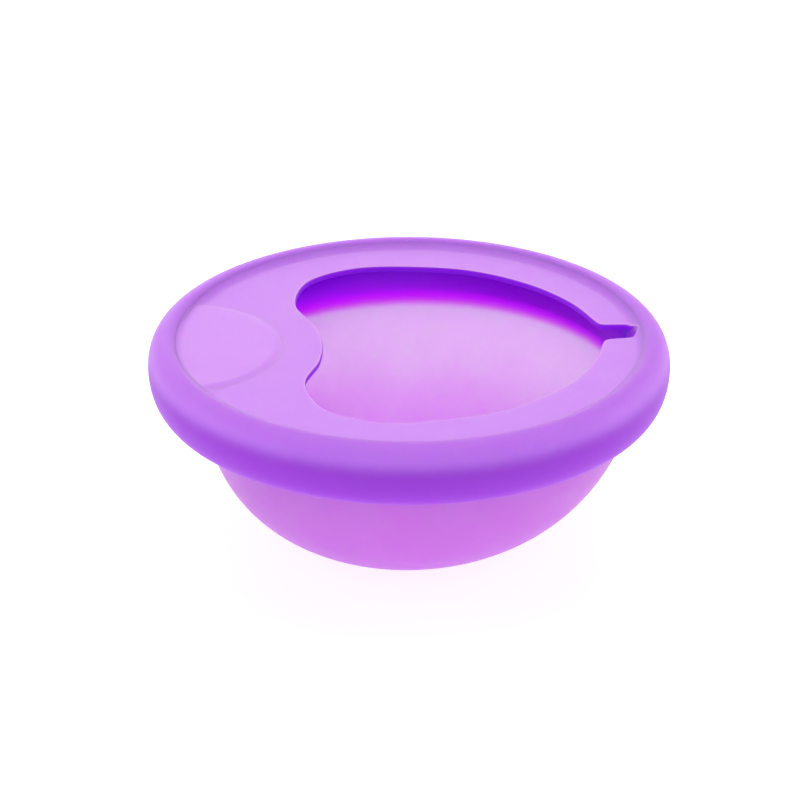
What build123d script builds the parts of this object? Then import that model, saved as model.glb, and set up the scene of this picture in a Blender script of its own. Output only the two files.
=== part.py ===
from build123d import *
import math
import os

os.makedirs("parts", exist_ok=True)

# A reusable silicone disc: a firm oval-section rim, a thin bowl hanging from it, and a flat
# flange that partly closes the mouth and leaves one shaped opening with a slit at its far end.
# Millimetres, +Z up, z = 0 on the surface that it stands on, Z axis through the rim's centre.
# +X points from the finger pad to the slit.

# ---- Rim: an oval section, taller than wide, revolved about Z
OUTER_DIAMETER = 76.0
RIM_OUTER_REACH = 3.0
RIM_INNER_REACH = 2.5
RIM_TOP_REACH = 4.15
RIM_BOTTOM_REACH = 5.1

# ---- Bowl: a full, slightly leaning cup with a small flat foot
BOWL_RADIUS = 31.75
BOWL_DEPTH = 25.15
BOWL_FULLNESS = 2.56
BOWL_WALL = 0.8
BOWL_TOP_BELOW_EQUATOR = 3.3
BOWL_LEAN_AT_TOP = 1.6
BOWL_LEAN_AT_FOOT = -0.7
FOOT_RADIUS = 8.0
BOWL_SECTIONS = 9

# ---- Lip of the bowl, bonded into a step on the inside of the rim
LIP_REACH = 33.6
LIP_HEIGHT = 2.4
LIP_TOP_BELOW_EQUATOR = 1.0
LIP_CLEARANCE = 0.03

# ---- Flange and finger pad
FLANGE_THICKNESS = 1.0
FLANGE_TOP_ABOVE_EQUATOR = 3.07
FLANGE_REACH = 34.2
PAD_RADIUS = 15.3
PAD_CENTRE_X = -33.5
PAD_THICKNESS = 0.45
PAD_REACH = 34.0
PAD_EDGE_ROUND = 0.3

# ---- Opening in the flange, as one half of its outline from the tab's tip to the slit
TAB_TIP_X = -12.6
OPENING_HALF = [
    (TAB_TIP_X, 0.0),
    (-13.4, 6.3),
    (-15.8, 13.4),
    (-13.8, 21.4),
    (-8.1, 25.6),
    (-1.0, 26.6),
    (10.5, 24.4),
    (19.2, 18.7),
    (25.1, 11.1),
    (28.4, 2.6),
]
HEADING_AT_TAB = (0, 1)
HEADING_AT_SLIT = (0.35, -1)
SLIT_MOUTH_HALF_WIDTH = 2.6
SLIT_END_HALF_WIDTH = 2.2
SLIT_SHOULDER_X = 32.6
SLIT_TIP_X = 33.7
SLIT_END_ROUND = 0.5
SLIT_OVERLAP = 1.0

# ---- Sizes that follow from those above
rim_radius = OUTER_DIAMETER / 2 - RIM_OUTER_REACH
foot_share = math.sqrt(1 - (FOOT_RADIUS / BOWL_RADIUS) ** BOWL_FULLNESS)
bowl_top = BOWL_DEPTH * foot_share
equator = bowl_top + BOWL_TOP_BELOW_EQUATOR
lip_top = equator - LIP_TOP_BELOW_EQUATOR
lip_bottom = lip_top - LIP_HEIGHT
flange_top = equator + FLANGE_TOP_ABOVE_EQUATOR
flange_bottom = flange_top - FLANGE_THICKNESS


def bowl_lean(level):
    """How far the bowl's centre stands towards +X at a height: it leans evenly all the way up."""
    share = level / bowl_top
    return BOWL_LEAN_AT_FOOT + (BOWL_LEAN_AT_TOP - BOWL_LEAN_AT_FOOT) * share


def bowl_section(angle, inset):
    """(height, radius) of the bowl's profile at an angle below its top, set in from the outside."""
    depth = (BOWL_DEPTH - inset) * math.sin(angle)
    radius = (BOWL_RADIUS - inset) * math.cos(angle) ** (2 / BOWL_FULLNESS)
    return bowl_top - depth, radius


def bowl_levels(inset, lowest_radius):
    """The profile's sections, evenly spaced in angle, from the top down to a small flat disc."""
    share = lowest_radius / (BOWL_RADIUS - inset)
    last_angle = math.acos(share ** (BOWL_FULLNESS / 2))
    steps = BOWL_SECTIONS - 1
    return [bowl_section(last_angle * i / steps, inset) for i in range(BOWL_SECTIONS)]


# ---- Finger pad: a round patch on the flange, cut off by the rim
with BuildPart() as finger_pad:
    with BuildSketch(Plane.XY.offset(flange_top)):
        with Locations((PAD_CENTRE_X, 0)):
            Circle(PAD_RADIUS)
        Circle(PAD_REACH, mode=Mode.INTERSECT)
    extrude(amount=PAD_THICKNESS)
    pad_prism = finger_pad.part
    pad_front = finger_pad.edges().group_by(Axis.Z)[-1].sort_by(Axis.X)[-1]
    fillet(pad_front, radius=PAD_EDGE_ROUND)
finger_pad.part.label = "finger_pad"

# ---- Rim: revolved oval, grooved for the flange and stepped for the bowl's lip
with BuildPart() as rim:
    with BuildSketch(Plane.XZ):
        with BuildLine():
            centre = (rim_radius, equator)
            EllipticalCenterArc(centre, RIM_OUTER_REACH, RIM_TOP_REACH, 0, arc_size=90)
            EllipticalCenterArc(centre, RIM_INNER_REACH, RIM_TOP_REACH, 90, arc_size=90)
            EllipticalCenterArc(centre, RIM_INNER_REACH, RIM_BOTTOM_REACH, 180, arc_size=90)
            EllipticalCenterArc(centre, RIM_OUTER_REACH, RIM_BOTTOM_REACH, 270, arc_size=90)
        make_face()
    revolve(axis=Axis.Z)
    with BuildSketch(Plane.XY.offset(flange_bottom)):
        Circle(FLANGE_REACH)
    extrude(amount=FLANGE_THICKNESS, mode=Mode.SUBTRACT)
    with BuildSketch(Plane.XY.offset(lip_top)):
        Circle(LIP_REACH)
    step_depth = RIM_BOTTOM_REACH - LIP_TOP_BELOW_EQUATOR
    extrude(amount=-step_depth, mode=Mode.SUBTRACT)
    add(pad_prism, mode=Mode.SUBTRACT)
rim.part.label = "rim"

# ---- Flange: a flat web inside the rim, with the shaped opening and its slit
slit_mouth_x = OPENING_HALF[-1][0]
with BuildSketch() as opening:
    with BuildLine():
        edge = Spline(*OPENING_HALF, tangents=[HEADING_AT_TAB, HEADING_AT_SLIT])
        Line(edge @ 1, (slit_mouth_x, 0))
        Line((slit_mouth_x, 0), edge @ 0)
    make_face()
    mirror(about=Plane.XZ)

with BuildSketch() as slit:
    with BuildLine():
        Polyline(
            (slit_mouth_x - SLIT_OVERLAP, SLIT_MOUTH_HALF_WIDTH),
            (SLIT_SHOULDER_X, SLIT_END_HALF_WIDTH),
            (SLIT_TIP_X, 0),
            (SLIT_SHOULDER_X, -SLIT_END_HALF_WIDTH),
            (slit_mouth_x - SLIT_OVERLAP, -SLIT_MOUTH_HALF_WIDTH),
            close=True,
        )
    make_face()
    fillet(slit.vertices().sort_by(Axis.X)[-3:], radius=SLIT_END_ROUND)

with BuildPart() as flange:
    with BuildSketch(Plane.XY.offset(flange_bottom)):
        Circle(FLANGE_REACH)
        add(opening.sketch_local, mode=Mode.SUBTRACT)
        add(slit.sketch_local, mode=Mode.SUBTRACT)
    extrude(amount=FLANGE_THICKNESS)
flange.part.label = "flange"

# ---- Bowl: a lip round the top, and outer and inner skins lofted through leaning circles
with BuildPart() as bowl:
    with BuildSketch(Plane.XY.offset(lip_bottom)):
        Circle(LIP_REACH - LIP_CLEARANCE)
    extrude(amount=LIP_HEIGHT)
    for inset, mode in ((0, Mode.ADD), (BOWL_WALL, Mode.SUBTRACT)):
        for level, radius in bowl_levels(inset, FOOT_RADIUS):
            with BuildSketch(Plane.XY.offset(level)):
                with Locations((bowl_lean(level), 0)):
                    Circle(radius)
        loft(mode=mode)
    with BuildSketch(Plane.XY.offset(bowl_top)):
        with Locations((bowl_lean(bowl_top), 0)):
            Circle(BOWL_RADIUS - BOWL_WALL)
    extrude(amount=lip_top - bowl_top, mode=Mode.SUBTRACT)
bowl.part.label = "bowl"

export_step(rim.part, "parts/rim.step")
export_step(flange.part, "parts/flange.step")
export_step(finger_pad.part, "parts/finger_pad.step")
export_step(bowl.part, "parts/bowl.step")
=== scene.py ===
import math

import bpy
import numpy as np
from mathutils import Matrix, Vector


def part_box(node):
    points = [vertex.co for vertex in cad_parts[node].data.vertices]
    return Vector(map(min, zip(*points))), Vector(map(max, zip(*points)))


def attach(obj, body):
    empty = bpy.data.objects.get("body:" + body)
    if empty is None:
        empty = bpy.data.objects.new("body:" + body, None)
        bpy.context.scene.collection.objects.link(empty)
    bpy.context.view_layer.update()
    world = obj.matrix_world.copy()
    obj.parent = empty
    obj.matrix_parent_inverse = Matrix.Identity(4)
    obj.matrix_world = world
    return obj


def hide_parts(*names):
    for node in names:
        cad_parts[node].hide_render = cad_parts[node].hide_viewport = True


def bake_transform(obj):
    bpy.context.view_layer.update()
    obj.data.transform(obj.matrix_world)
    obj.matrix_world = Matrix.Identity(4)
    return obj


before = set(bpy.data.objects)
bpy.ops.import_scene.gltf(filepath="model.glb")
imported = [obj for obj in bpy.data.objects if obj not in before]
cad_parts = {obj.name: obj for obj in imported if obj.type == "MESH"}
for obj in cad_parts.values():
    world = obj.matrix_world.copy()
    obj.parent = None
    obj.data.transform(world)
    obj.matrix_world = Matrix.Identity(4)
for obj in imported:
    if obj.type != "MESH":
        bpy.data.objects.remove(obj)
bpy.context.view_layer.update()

MM = 0.001
TURN = 2 * math.pi
RING = "ring"

# ---- Where things are, from the frame
rim_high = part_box("rim")[1]
flange_low, flange_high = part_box("flange")

# ---- Tones: one number per point of a mesh, which its material's ramp turns into a colour.
# On thick silicone 0 is pale and thin-looking, and 1 the deepest violet. Besides the silicone's
# own tint, the tones below carry painted shade, a painted highlight and painted light, as marked.
RIM_TONE = 0.28
# The rim's crest and inner slope: deeper partly as the tint of thick silicone, partly as painted shade of
# the crease by the flange.
RIM_CREST_TINT_AND_SHADE = 0.09
# Painted shade on the rim's lower outer face, which turns down, away from the lamps.
RIM_LOWER_SHADE = 0.34
# Painted shade on the rim's inner face, in shadow under the flange.
RIM_INSIDE_SHADE = 0.62
FLANGE_TONE = 0.17
# The flange near the rim: deeper partly as the tint of the thick rim below, partly as painted shade of
# the crease.
FLANGE_CREASE_TINT_AND_SHADE = 0.18
# Painted shade: the flange's cut wall and underside, in shadow, are painted deep violet.
FLANGE_CUT_SHADE_TONE = 0.80
PAD_TONE = 0.13
# Painted shade on the finger pad's sloping edge.
PAD_EDGE_SHADE = 0.03
# The pad near the rim: deeper partly as the tint of the thick rim below, partly as painted shade of the
# crease.
PAD_CREASE_TINT_AND_SHADE = 0.12
PAD_ROOT_TONE = 0.10
# On the bowl, the lowest tones are its outside, then its foot inside, its wall inside, and the deep band.
# The inside is painted paler than the outside, painted light for light that comes through the thin
# wall; towards the foot it is painted darker as shade, and the deep band is painted shade.
BOWL_OUTSIDE_TONE = 0.07
BOWL_OUTSIDE_FALL = 0.06
# Painted light: the inside of the thin wall is painted paler than its outside.
BOWL_INSIDE_PAINTED_LIGHT_TONE = 0.33
# Painted shade: the bowl's inside grows darker towards the foot.
BOWL_INSIDE_FOOT_SHADE = 0.15
# Painted shade: the band of the bowl's inside under the flange is painted deep violet.
BOWL_BAND_SHADE = 0.67

# ---- Rim section: how far it reaches from its middle, and how full its corners are
RIM_OUT = 3.0 * MM
RIM_IN = 2.5 * MM
RIM_UP = 4.15 * MM
RIM_DOWN = 5.1 * MM
RIM_FULLNESS = 2.12
RIM_SEGMENTS = 288
RIM_SECTION_POINTS = 96
RIM_CREST_ANGLE = 1.75
RIM_CREST_SPREAD = 0.42
rim_radius = rim_high.x - RIM_OUT
equator = rim_high.z - RIM_UP

# ---- Flange: top, underside, and how it runs into the rim
flange_top = flange_high.z
flange_bottom = flange_low.z
FLANGE_EDGE_ROUND = 0.32 * MM
FLANGE_FILLET = 1.0 * MM
FLANGE_REACH = 34.6 * MM
NEAR_RIM_START = 32.4 * MM
NEAR_RIM_END = 34.2 * MM
PAD_NEAR_RIM_START = 32.6 * MM
SINK = 0.015 * MM  # how far a surface that ends on another dives under it
OUTLINE_POINTS = 720
OUTLINE_SMOOTHING = 0.45 * MM
OPENING_CENTRE_X = 5.0 * MM

# ---- Opening: one half of its outline, from the tab's tip to the tip of the slit, in mm
OPENING_HALF = [
    (-12.6, 0.0),
    (-13.4, 6.3),
    (-15.8, 13.4),
    (-13.8, 21.4),
    (-8.1, 25.6),
    (-1.0, 26.6),
    (10.5, 24.4),
    (19.2, 18.7),
    (25.1, 11.1),
    (28.2, 3.0),
]
SLIT_HALF = [(28.6, 2.5), (32.6, 2.2), (33.7, 0.0)]

# ---- Finger pad
PAD_RADIUS = 15.3 * MM
PAD_CENTRE = (-33.5 * MM, 0.0)
PAD_SOFT_EDGE = 1.7 * MM
PAD_RISE = 0.26 * MM
PAD_REACH = 34.35 * MM
PAD_MIDDLE = (-26.5 * MM, 0.0)
PAD_FILLET = 0.6 * MM
PAD_ROOT = 0.4 * MM
PAD_RINGS = 44
PAD_SEGMENTS = 240

# ---- Bowl: the same full, leaning cup as in the frame, with its wall's real thickness
BOWL_RADIUS = 31.75 * MM
BOWL_DEPTH = 25.15 * MM
BOWL_FULLNESS = 2.56
BOWL_WALL = 0.8 * MM
BOWL_TOP_BELOW_EQUATOR = 3.3 * MM
BOWL_LEAN_AT_TOP = 1.6 * MM
BOWL_LEAN_AT_FOOT = -0.7 * MM
FOOT_RADIUS = 8.0 * MM
BOWL_SEGMENTS = 240
BOWL_SKIN_POINTS = 72
POLE_SHARE = 0.4  # the innermost ring of the foot, as a share of its radius
BAND_START_BELOW_EQUATOR = 6.4 * MM
BAND_END_BELOW_EQUATOR = 2.9 * MM
FOOT_SIDE_START_BELOW_EQUATOR = 7.0 * MM
FOOT_SIDE_END_BELOW_EQUATOR = 26.0 * MM
bowl_top = equator - BOWL_TOP_BELOW_EQUATOR


# ---------------------------------------------------------------- geometry helpers
def make_mesh(name, points, faces, tone):
    """A smooth-shaded mesh object, with its tone at each point."""
    mesh = bpy.data.meshes.new(name)
    mesh.from_pydata(np.asarray(points).tolist(), [], faces)
    mesh.polygons.foreach_set("use_smooth", [True] * len(mesh.polygons))
    layer = mesh.attributes.new("tone", "FLOAT", "POINT")
    layer.data.foreach_set("value", np.asarray(tone, np.float32).ravel())
    mesh.validate()
    mesh.update()
    piece = bpy.data.objects.new(name, mesh)
    bpy.context.scene.collection.objects.link(piece)
    return piece


def loop_faces(rows, columns, close_rows=True):
    """Quads over a grid of points, row after row, whose columns close into a loop."""
    faces = []
    last = rows if close_rows else rows - 1
    for i in range(last):
        below = i * columns
        above = ((i + 1) % rows) * columns
        for j in range(columns):
            k = (j + 1) % columns
            faces.append((below + j, below + k, above + k, above + j))
    return faces


def cap_faces(rows, columns):
    """Triangles from the first and last rows to two middle points that follow the grid's points."""
    first_middle = rows * columns
    last_row = (rows - 1) * columns
    faces = []
    for j in range(columns):
        k = (j + 1) % columns
        faces.append((first_middle, k, j))
        faces.append((first_middle + 1, last_row + j, last_row + k))
    return faces


def power_arc(wave, reach_plus, reach_minus, fullness):
    """One coordinate of a full oval: a cosine or sine, fattened, with its own reach on each side."""
    fat = np.sign(wave) * np.abs(wave) ** (2 / fullness)
    return np.where(fat > 0, fat * reach_plus, fat * reach_minus)


def rim_section(angle):
    """(distance from the axis, height) of the rim's surface at an angle round its section."""
    across = power_arc(np.cos(angle), RIM_OUT, RIM_IN, RIM_FULLNESS)
    up = power_arc(np.sin(angle), RIM_UP, RIM_DOWN, RIM_FULLNESS)
    return rim_radius + across, equator + up


def rim_inner_height(distance):
    """Height of the rim's upper surface on its inner side, at a distance from the axis."""
    share = np.clip((rim_radius - distance) / RIM_IN, 0, 1)
    return equator + RIM_UP * (1 - share**RIM_FULLNESS) ** (1 / RIM_FULLNESS)


def smooth_step(value, start, end):
    """0 before start, 1 after end, and an even S between them."""
    share = np.clip((value - start) / (end - start), 0, 1)
    return share * share * (3 - 2 * share)


def bezier(p0, p1, p2, p3, count):
    """Points along a cubic curve."""
    t = np.linspace(0, 1, count)[:, None]
    points = [np.array(p, float) for p in (p0, p1, p2, p3)]
    return (
        (1 - t) ** 3 * points[0]
        + 3 * (1 - t) ** 2 * t * points[1]
        + 3 * (1 - t) * t**2 * points[2]
        + t**3 * points[3]
    )


def even_steps(points, count):
    """A closed line through points, resampled into evenly spaced ones."""
    closed = np.vstack([points, points[:1]])
    lengths = np.linalg.norm(np.diff(closed, axis=0), axis=1)
    along = np.concatenate([[0], np.cumsum(lengths)])
    wanted = np.linspace(0, along[-1], count, endpoint=False)
    return np.stack([np.interp(wanted, along, closed[:, i]) for i in (0, 1)], axis=1)


def through_points(points, per_span=40):
    """A smooth curve through points (Catmull-Rom), whose first span is mirrored about y = 0."""
    points = np.array(points, float)
    before = points[1] * (1, -1)
    after = 2 * points[-1] - points[-2]
    knots = np.vstack([before, points, after])
    t = np.linspace(0, 1, per_span, endpoint=False)[:, None]
    spans = []
    for a, b, c, d in zip(knots, knots[1:], knots[2:], knots[3:]):
        spans.append(
            0.5
            * (
                2 * b
                + (c - a) * t
                + (2 * a - 5 * b + 4 * c - d) * t**2
                + (3 * b - a - 3 * c + d) * t**3
            )
        )
    return np.vstack(spans + [points[-1:]])


def soften(points, distance):
    """A closed line with its corners rounded, by averaging along it over a short distance."""
    step = np.linalg.norm(points[1] - points[0])
    reach = max(1, int(3 * distance / step))
    offsets = np.arange(-reach, reach + 1)
    weights = np.exp(-0.5 * (offsets * step / distance) ** 2)
    weights /= weights.sum()
    return sum(w * np.roll(points, o, axis=0) for w, o in zip(weights, offsets))


# ---------------------------------------------------------------- rim
def make_rim():
    """The firm oval rim, revolved about Z; its side that faces into the bowl is painted deep violet as
    shade.
    """
    angles = np.linspace(0, TURN, RIM_SECTION_POINTS, endpoint=False)
    distance, height = rim_section(angles)
    around = np.linspace(0, TURN, RIM_SEGMENTS, endpoint=False)
    points = np.stack(
        [
            np.outer(distance, np.cos(around)),
            np.outer(distance, np.sin(around)),
            np.outer(height, np.ones(RIM_SEGMENTS)),
        ],
        axis=-1,
    ).reshape(-1, 3)
    outward = np.cos(angles)
    upward = np.sin(angles)
    # Painted shade: the inner face, under the flange, is painted deep violet.
    inside = smooth_step(-outward, 0.1, 0.6) * smooth_step(-upward, -0.85, -0.55)
    # Crest and inner slope: partly thick-silicone tint, partly painted shade of the crease by the flange.
    crest = np.exp(-(((angles - RIM_CREST_ANGLE) / RIM_CREST_SPREAD) ** 2))
    # Painted shade: the lower outer face is painted deeper.
    lower = smooth_step(-upward, -0.62, 0.05) * smooth_step(outward, -0.6, 0.2)
    deeper = RIM_CREST_TINT_AND_SHADE * crest + RIM_LOWER_SHADE * lower + RIM_INSIDE_SHADE * inside
    tone = np.repeat(np.clip(RIM_TONE + deeper, 0, 1), RIM_SEGMENTS)
    return make_mesh("rim", points, loop_faces(RIM_SECTION_POINTS, RIM_SEGMENTS), tone)


# ---------------------------------------------------------------- flange
def opening_outline():
    """The closed outline of the opening and its slit, anticlockwise, in metres."""
    upper = np.vstack([through_points(OPENING_HALF), SLIT_HALF]) * MM
    lower = upper[-2:0:-1] * (1, -1)
    outline = even_steps(np.vstack([upper, lower]), 4 * OUTLINE_POINTS)
    outline = soften(outline, OUTLINE_SMOOTHING)
    return even_steps(outline, OUTLINE_POINTS)[::-1]


def run_into_rim(level, distance, fillet):
    """Height of a flat surface at a level, with a soft fillet up into the rim's inner slope."""
    gap = rim_inner_height(distance) - level
    near = np.clip(1 - np.abs(gap) / fillet, 0, 1)
    return level + np.maximum(gap, 0) + near * near * fillet / 4 - SINK


def flange_surface(distance):
    return run_into_rim(flange_top, distance, FLANGE_FILLET)


def make_flange():
    """The flat web inside the rim, 1 mm thick, with a rounded edge round its opening."""
    outline = opening_outline()
    tangent = np.roll(outline, -1, axis=0) - np.roll(outline, 1, axis=0)
    tangent /= np.linalg.norm(tangent, axis=1)[:, None]
    outward = np.stack([tangent[:, 1], -tangent[:, 0]], axis=1)
    centre = np.array([OPENING_CENTRE_X, 0.0])
    ray = outline - centre
    ray /= np.linalg.norm(ray, axis=1)[:, None]
    middle = ray @ centre
    reach = -middle + np.sqrt(middle**2 + FLANGE_REACH**2 - centre @ centre)
    rim_side = centre + ray * reach[:, None]
    edge = outline + outward * FLANGE_EDGE_ROUND

    # The section's rows, from the rim inwards over the top, round the cut edge and back underneath
    rows = []
    for share in np.linspace(0, 1, 40):
        place = rim_side + (edge - rim_side) * share
        distance = np.linalg.norm(place, axis=1)
        # Near the rim: partly thick-silicone tint, partly painted shade of the crease.
        near_rim = smooth_step(distance, NEAR_RIM_START, NEAR_RIM_END)
        tone = FLANGE_TONE + FLANGE_CREASE_TINT_AND_SHADE * near_rim
        rows.append((place, flange_surface(distance), tone))
    for angle in np.linspace(0, math.pi / 2, 8)[1:]:
        place = edge - outward * FLANGE_EDGE_ROUND * math.sin(angle)
        top = flange_surface(np.linalg.norm(place, axis=1))
        height = top - FLANGE_EDGE_ROUND * (1 - math.cos(angle))
        # Painted highlight: the top of the rounded edge is painted palest, deepening into the cut's
        # painted shade down its side.
        tone = np.full(OUTLINE_POINTS, FLANGE_CUT_SHADE_TONE * smooth_step(angle, 0.5, 1.3))
        rows.append((place, height, tone))
    low = np.full(OUTLINE_POINTS, flange_bottom)
    # Painted shade on the cut wall and the underside.
    cut_tone = np.full(OUTLINE_POINTS, FLANGE_CUT_SHADE_TONE)
    for angle in np.linspace(0, math.pi / 2, 8):
        place = edge - outward * FLANGE_EDGE_ROUND * math.cos(angle)
        rows.append((place, low + FLANGE_EDGE_ROUND * (1 - math.sin(angle)), cut_tone))
    for share in np.linspace(1, 0, 12)[1:]:
        rows.append((rim_side + (edge - rim_side) * share, low, cut_tone))

    points = np.vstack([np.column_stack([place, height]) for place, height, tone in rows])
    tones = np.concatenate([tone for place, height, tone in rows])
    return make_mesh("flange", points, loop_faces(len(rows), OUTLINE_POINTS), tones)


# ---------------------------------------------------------------- finger pad
def reach_in_circle(origin, heading, centre, radius):
    """How far each heading runs from a point inside a circle to the circle."""
    away = np.array(origin) - np.array(centre)
    along = heading @ away
    return -along + np.sqrt(along**2 + radius**2 - away @ away)


def make_finger_pad():
    """A round, soft-edged patch that stands a little proud of the flange and runs under the rim."""
    around = np.linspace(0, TURN, PAD_SEGMENTS, endpoint=False)
    heading = np.column_stack([np.cos(around), np.sin(around)])
    reach = np.minimum(
        reach_in_circle(PAD_MIDDLE, heading, PAD_CENTRE, PAD_RADIUS),
        reach_in_circle(PAD_MIDDLE, heading, (0, 0), PAD_REACH),
    )
    shares = np.sin(np.linspace(0.02, 1, PAD_RINGS) * math.pi / 2)
    points = []
    tone = []
    for share in shares:
        place = np.array(PAD_MIDDLE) + heading * (reach * share)[:, None]
        distance = np.linalg.norm(place, axis=1)
        inward = PAD_RADIUS - np.linalg.norm(place - np.array(PAD_CENTRE), axis=1)
        full = smooth_step(inward, 0, PAD_SOFT_EDGE)
        level = flange_top + PAD_RISE * full - SINK * (1 - full)
        points.append(np.column_stack([place, run_into_rim(level, distance, PAD_FILLET)]))
        # Painted shade on the pad's sloping edge.
        slope = 4 * full * (1 - full)
        # Near the rim: partly thick-silicone tint, partly painted shade of the crease.
        near_rim = smooth_step(distance, PAD_NEAR_RIM_START, NEAR_RIM_END)
        tone.append(PAD_TONE + PAD_EDGE_SHADE * slope + PAD_CREASE_TINT_AND_SHADE * near_rim)
    for share in shares[::-1]:
        place = np.array(PAD_MIDDLE) + heading * (reach * share)[:, None]
        points.append(np.column_stack([place, np.full(PAD_SEGMENTS, flange_top - PAD_ROOT)]))
        tone.append(np.full(PAD_SEGMENTS, PAD_ROOT_TONE))
    middles = [
        (*PAD_MIDDLE, flange_top + PAD_RISE - SINK),
        (*PAD_MIDDLE, flange_top - PAD_ROOT),
    ]
    faces = loop_faces(2 * PAD_RINGS, PAD_SEGMENTS, close_rows=False)
    faces += cap_faces(2 * PAD_RINGS, PAD_SEGMENTS)
    points = np.vstack([*points, middles])
    tone = np.concatenate([*tone, [PAD_TONE, PAD_ROOT_TONE]])
    return make_mesh("finger_pad", points, faces, tone)


# ---------------------------------------------------------------- bowl
def bowl_skin(inset, top_height):
    """The cup's profile from the edge of its foot up to a height: (distance, height) rows."""
    foot_angle = math.acos((FOOT_RADIUS / (BOWL_RADIUS - inset)) ** (BOWL_FULLNESS / 2))
    top_angle = math.asin((bowl_top - top_height) / (BOWL_DEPTH - inset))
    angle = np.linspace(foot_angle, top_angle, BOWL_SKIN_POINTS)
    distance = (BOWL_RADIUS - inset) * np.cos(angle) ** (2 / BOWL_FULLNESS)
    height = bowl_top - (BOWL_DEPTH - inset) * np.sin(angle)
    return np.column_stack([distance, height])


def bowl_profile():
    """The bowl's section: up the outside, over the lip inside the rim, and down the inside."""
    outside = bowl_skin(0, equator - 5.2 * MM)
    inside = bowl_skin(BOWL_WALL, equator - 4.6 * MM)[::-1]
    foot_rings = np.linspace(POLE_SHARE, 1, 8)[:-1] * FOOT_RADIUS
    outside_foot = np.column_stack([foot_rings, np.zeros(len(foot_rings))])
    inside_foot = np.column_stack([foot_rings[::-1], np.full(len(foot_rings), inside[-1, 1])])
    outer_start = outside[-1]
    inner_end = inside[0]
    root = (34.0 * MM, equator - 3.7 * MM)
    outer_flare = bezier(
        outer_start,
        (outer_start[0] + 0.05 * MM, equator - 4.1 * MM),
        (outer_start[0] + 0.5 * MM, equator - 3.7 * MM),
        root,
        14,
    )[1:]
    inner_flare = bezier(
        (33.0 * MM, equator + 1.7 * MM),
        (32.25 * MM, equator + 0.6 * MM),
        (inner_end[0] + 0.25 * MM, equator - 1.8 * MM),
        inner_end,
        26,
    )[:-1]
    return np.vstack([outside_foot, outside, outer_flare, inner_flare, inside, inside_foot])


def make_bowl():
    """The thin leaning cup, closed over both poles."""
    profile = bowl_profile()
    rows = len(profile)
    around = np.linspace(0, TURN, BOWL_SEGMENTS, endpoint=False)
    share = profile[:, 1] / bowl_top
    lean = BOWL_LEAN_AT_FOOT + (BOWL_LEAN_AT_TOP - BOWL_LEAN_AT_FOOT) * share
    lip = int(np.argmax(profile[:, 0]))
    inner = np.arange(rows) > lip
    height = profile[:, 1]
    upright_outside = smooth_step(profile[:, 0], BOWL_RADIUS, 33.4 * MM)
    upright_inside = smooth_step(height, equator - 4.6 * MM, equator + 1.2 * MM)
    lean *= 1 - np.where(inner, upright_inside, upright_outside)
    x = np.outer(profile[:, 0], np.cos(around)) + lean[:, None]
    y = np.outer(profile[:, 0], np.sin(around))
    z = np.outer(profile[:, 1], np.ones(BOWL_SEGMENTS))
    points = np.stack([x, y, z], axis=-1).reshape(-1, 3)
    poles = [(BOWL_LEAN_AT_FOOT, 0, 0), (BOWL_LEAN_AT_FOOT, 0, profile[-1, 1])]
    faces = loop_faces(rows, BOWL_SEGMENTS, close_rows=False)
    faces += cap_faces(rows, BOWL_SEGMENTS)

    below = equator - height
    # Painted shade: the band inside, under the flange, is painted deep violet.
    under_flange_shade = 1 - smooth_step(below, BAND_END_BELOW_EQUATOR, BAND_START_BELOW_EQUATOR)
    # Painted shade: the inside grows darker towards the foot.
    foot_side = smooth_step(below, FOOT_SIDE_START_BELOW_EQUATOR, FOOT_SIDE_END_BELOW_EQUATOR)
    # The inside is painted paler than the outside, painted light for light coming through the wall.
    inner_tone = BOWL_INSIDE_PAINTED_LIGHT_TONE - BOWL_INSIDE_FOOT_SHADE * foot_side + BOWL_BAND_SHADE * under_flange_shade
    outer_tone = BOWL_OUTSIDE_TONE - BOWL_OUTSIDE_FALL * foot_side
    tone = np.where(inner, inner_tone, outer_tone)
    tone = np.concatenate([np.repeat(tone, BOWL_SEGMENTS), tone[[0, -1]]])
    return make_mesh("bowl", np.vstack([points, poles]), faces, tone)


# ---------------------------------------------------------------- materials
def add_node(tree, kind, **inputs):
    """A node with some of its sockets set by name."""
    node = tree.nodes.new(kind)
    for key, value in inputs.items():
        node.inputs[key.replace("_", " ")].default_value = value
    return node


# Noise scales are in waves per metre.
MOTTLE_SCALE = 160.0
MOTTLE_DEPTH = 0.03
SPECKLE_SCALE = 3200.0
ROUGHNESS_WANDER = 0.06
GRAIN_STRENGTH = 0.30
GRAIN_DEPTH = 0.02 * MM
# Painted glow: the deepest tones give off light that stands for light coming through the silicone.
PAINTED_GLOW_COLOUR = (0.20, 0.0, 1.0)
PAINTED_GLOW_FROM_TONE = 0.55

# Ramps from tone to colour
THICK_TONES = [
    (0.00, (0.78, 0.42, 0.93)),
    (0.12, (0.68, 0.29, 0.92)),
    (0.35, (0.50, 0.17, 0.84)),
    (0.60, (0.31, 0.04, 0.62)),
    (0.80, (0.40, 0.010, 0.85)),
    (1.00, (0.38, 0.002, 0.96)),
]
THIN_TONES = [
    (0.00, (0.43, 0.14, 0.62)),
    (0.08, (0.54, 0.16, 0.73)),
    (0.20, (0.36, 0.42, 0.49)),
    (0.34, (0.63, 0.84, 0.69)),
    (0.50, (0.66, 0.44, 0.84)),
    (0.65, (0.59, 0.14, 0.84)),
    (0.82, (0.53, 0.008, 0.96)),
    (1.00, (0.46, 0.002, 1.00)),
]


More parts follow.
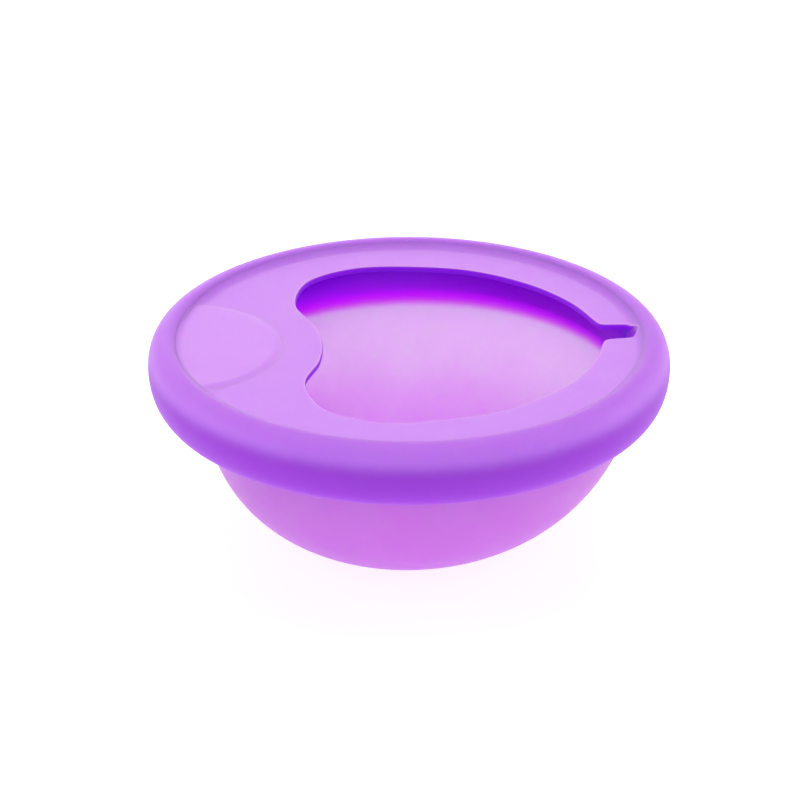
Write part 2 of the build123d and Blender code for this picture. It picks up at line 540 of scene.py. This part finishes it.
def silicone(name, tones, roughness, scatter, scatter_share, painted_glow=0.0):
    """Frosted silicone: its tint deepens with tone, which holds painted shade as well as the
    silicone's own tint, over faint mottling and a fine matt grain.

    scatter is how far light travels inside it, and the last argument is a painted glow that the deepest
    tone gives off, which stands for light that comes through the silicone around it.
    """
    material = bpy.data.materials.new(name)
    material.use_nodes = True
    tree = material.node_tree
    tree.nodes.clear()
    output = tree.nodes.new("ShaderNodeOutputMaterial")
    shader = tree.nodes.new("ShaderNodeBsdfPrincipled")
    shader.subsurface_method = "RANDOM_WALK"
    shader.inputs["Subsurface Weight"].default_value = scatter_share
    shader.inputs["Subsurface Radius"].default_value = (1.0, 0.25, 1.2)
    shader.inputs["Subsurface Scale"].default_value = scatter
    shader.inputs["Specular IOR Level"].default_value = 0.28
    shader.inputs["IOR"].default_value = 1.41
    shader.inputs["Sheen Weight"].default_value = 0.07
    shader.inputs["Sheen Roughness"].default_value = 0.4
    tree.links.new(shader.outputs["BSDF"], output.inputs["Surface"])

    place = tree.nodes.new("ShaderNodeTexCoord")
    tone = tree.nodes.new("ShaderNodeAttribute")
    tone.attribute_name = "tone"
    mottle = add_node(tree, "ShaderNodeTexNoise", Scale=MOTTLE_SCALE, Detail=3.0, Roughness=0.6)
    tree.links.new(place.outputs["Object"], mottle.inputs["Vector"])
    wander = tree.nodes.new("ShaderNodeMapRange")
    wander.inputs["To Min"].default_value = -MOTTLE_DEPTH
    wander.inputs["To Max"].default_value = MOTTLE_DEPTH
    tree.links.new(mottle.outputs["Fac"], wander.inputs["Value"])
    total = tree.nodes.new("ShaderNodeMath")
    total.operation = "ADD"
    tree.links.new(tone.outputs["Fac"], total.inputs[0])
    tree.links.new(wander.outputs["Result"], total.inputs[1])

    ramp = tree.nodes.new("ShaderNodeValToRGB")
    ramp.color_ramp.interpolation = "B_SPLINE"
    stops = ramp.color_ramp.elements
    while len(stops) < len(tones):
        stops.new(0.5)
    for stop, (where, colour) in zip(stops, tones):
        stop.position = where
        stop.color = (*colour, 1.0)
    tree.links.new(total.outputs["Value"], ramp.inputs["Fac"])
    tree.links.new(ramp.outputs["Color"], shader.inputs["Base Color"])

    # Painted glow on the deepest tones.
    if painted_glow > 0:
        shader.inputs["Emission Color"].default_value = (*PAINTED_GLOW_COLOUR, 1.0)
        glow_strength = tree.nodes.new("ShaderNodeMapRange")
        glow_strength.interpolation_type = "SMOOTHSTEP"
        glow_strength.inputs["From Min"].default_value = PAINTED_GLOW_FROM_TONE
        glow_strength.inputs["From Max"].default_value = 1.0
        glow_strength.inputs["To Max"].default_value = painted_glow
        tree.links.new(tone.outputs["Fac"], glow_strength.inputs["Value"])
        tree.links.new(glow_strength.outputs["Result"], shader.inputs["Emission Strength"])

    speckle = add_node(tree, "ShaderNodeTexNoise", Scale=SPECKLE_SCALE, Detail=4.0, Roughness=0.65)
    tree.links.new(place.outputs["Object"], speckle.inputs["Vector"])
    matt = tree.nodes.new("ShaderNodeMapRange")
    matt.inputs["To Min"].default_value = roughness - ROUGHNESS_WANDER
    matt.inputs["To Max"].default_value = roughness + ROUGHNESS_WANDER
    tree.links.new(speckle.outputs["Fac"], matt.inputs["Value"])
    tree.links.new(matt.outputs["Result"], shader.inputs["Roughness"])

    bump = tree.nodes.new("ShaderNodeBump")
    bump.inputs["Strength"].default_value = GRAIN_STRENGTH
    bump.inputs["Distance"].default_value = GRAIN_DEPTH
    tree.links.new(speckle.outputs["Fac"], bump.inputs["Height"])
    tree.links.new(bump.outputs["Normal"], shader.inputs["Normal"])
    return material


def plain(name, colour, glow):
    """The matt studio floor."""
    material = bpy.data.materials.new(name)
    material.use_nodes = True
    shader = material.node_tree.nodes["Principled BSDF"]
    shader.inputs["Base Color"].default_value = (*colour, 1.0)
    shader.inputs["Roughness"].default_value = 0.9
    shader.inputs["Specular IOR Level"].default_value = 0.1
    shader.inputs["Emission Color"].default_value = (1, 1, 1, 1)
    shader.inputs["Emission Strength"].default_value = glow
    return material


# ---------------------------------------------------------------- the object
def build_object():
    rim = make_rim()
    rim.data.materials.append(silicone("thick_silicone", THICK_TONES, 0.50, 3.0 * MM, 1.0))
    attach(rim, RING)
    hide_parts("rim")

    flange = make_flange()
    # The flange's cut wall and underside give off a painted glow.
    flange.data.materials.append(
        silicone("flange_silicone", THICK_TONES, 0.52, 1.0 * MM, 0.6, painted_glow=0.3)
    )
    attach(flange, RING)
    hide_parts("flange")

    finger_pad = make_finger_pad()
    finger_pad.data.materials.append(silicone("pad_silicone", THICK_TONES, 0.50, 0.6 * MM, 0.6))
    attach(finger_pad, RING)
    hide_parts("finger_pad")

    bowl = make_bowl()
    # The bowl's deep band gives off a painted glow.
    bowl.data.materials.append(
        silicone("thin_silicone", THIN_TONES, 0.55, 8.0 * MM, 1.0, painted_glow=0.20)
    )
    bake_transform(bowl)
    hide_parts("bowl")


# ---------------------------------------------------------------- the studio
FLOOR_HALF = 6.0
FLOOR_GAP = 0.02 * MM
CAMERA_AZIMUTH = math.radians(-5.2)
CAMERA_ELEVATION = math.radians(25.5)
CAMERA_DISTANCE = 380 * MM
CAMERA_LENS = 117.0
AIM_LOWER = math.radians(0.936)
AIM_LEFT = math.radians(0.198)


def make_floor():
    """A wide pale floor, just under the object."""
    half = FLOOR_HALF
    mesh = bpy.data.meshes.new("floor")
    corners = [(-half, -half, 0), (half, -half, 0), (half, half, 0), (-half, half, 0)]
    mesh.from_pydata(corners, [], [(0, 1, 2, 3)])
    floor = bpy.data.objects.new("floor", mesh)
    bpy.context.scene.collection.objects.link(floor)
    floor.location.z = -FLOOR_GAP
    floor.data.materials.append(plain("pale_floor", (0.45, 0.45, 0.45), 0.78))


def make_light(name, location, size, power):
    """A square soft box that faces the object."""
    data = bpy.data.lights.new(name, "AREA")
    data.shape = "SQUARE"
    data.size = size
    data.energy = power
    light = bpy.data.objects.new(name, data)
    bpy.context.scene.collection.objects.link(light)
    light.location = location
    facing = Vector((0, 0, equator)) - Vector(location)
    light.rotation_euler = facing.to_track_quat("-Z", "Y").to_euler()
    light.visible_camera = False


def make_camera():
    """The camera, aimed a little lower and further left than the middle of the rim."""
    data = bpy.data.cameras.new("camera")
    data.lens = CAMERA_LENS
    data.sensor_width = 36.0
    data.clip_start = 0.01
    data.clip_end = 50.0
    camera = bpy.data.objects.new("camera", data)
    bpy.context.scene.collection.objects.link(camera)
    back = Vector(
        (
            math.sin(CAMERA_AZIMUTH) * math.cos(CAMERA_ELEVATION),
            -math.cos(CAMERA_AZIMUTH) * math.cos(CAMERA_ELEVATION),
            math.sin(CAMERA_ELEVATION),
        )
    )
    camera.location = Vector((0, 0, equator)) + back * CAMERA_DISTANCE
    turn = (-back).to_track_quat("-Z", "Y").to_euler("XYZ")
    turn.x -= AIM_LOWER
    turn.z += AIM_LEFT / math.cos(CAMERA_ELEVATION)
    camera.rotation_euler = turn
    bpy.context.scene.camera = camera


def light_studio():
    """Five soft boxes in an even white room."""
    make_light("overhead", (0.0, 0.12, 0.75), 0.7, 2.9)
    make_light("left", (-0.65, 0.10, 0.25), 0.5, 1.2)
    make_light("right", (0.65, 0.10, 0.25), 0.5, 1.3)
    make_light("back", (0.0, 0.70, 0.20), 0.5, 1.6)
    make_light("front", (-0.05, -0.62, 0.36), 0.4, 1.1)
    world = bpy.data.worlds.new("studio")
    world.use_nodes = True
    background = world.node_tree.nodes["Background"]
    background.inputs["Color"].default_value = (1.0, 1.0, 1.0, 1.0)
    background.inputs["Strength"].default_value = 0.28
    bpy.context.scene.world = world
    bpy.context.scene.view_settings.view_transform = "Standard"


build_object()
make_floor()
light_studio()
make_camera()
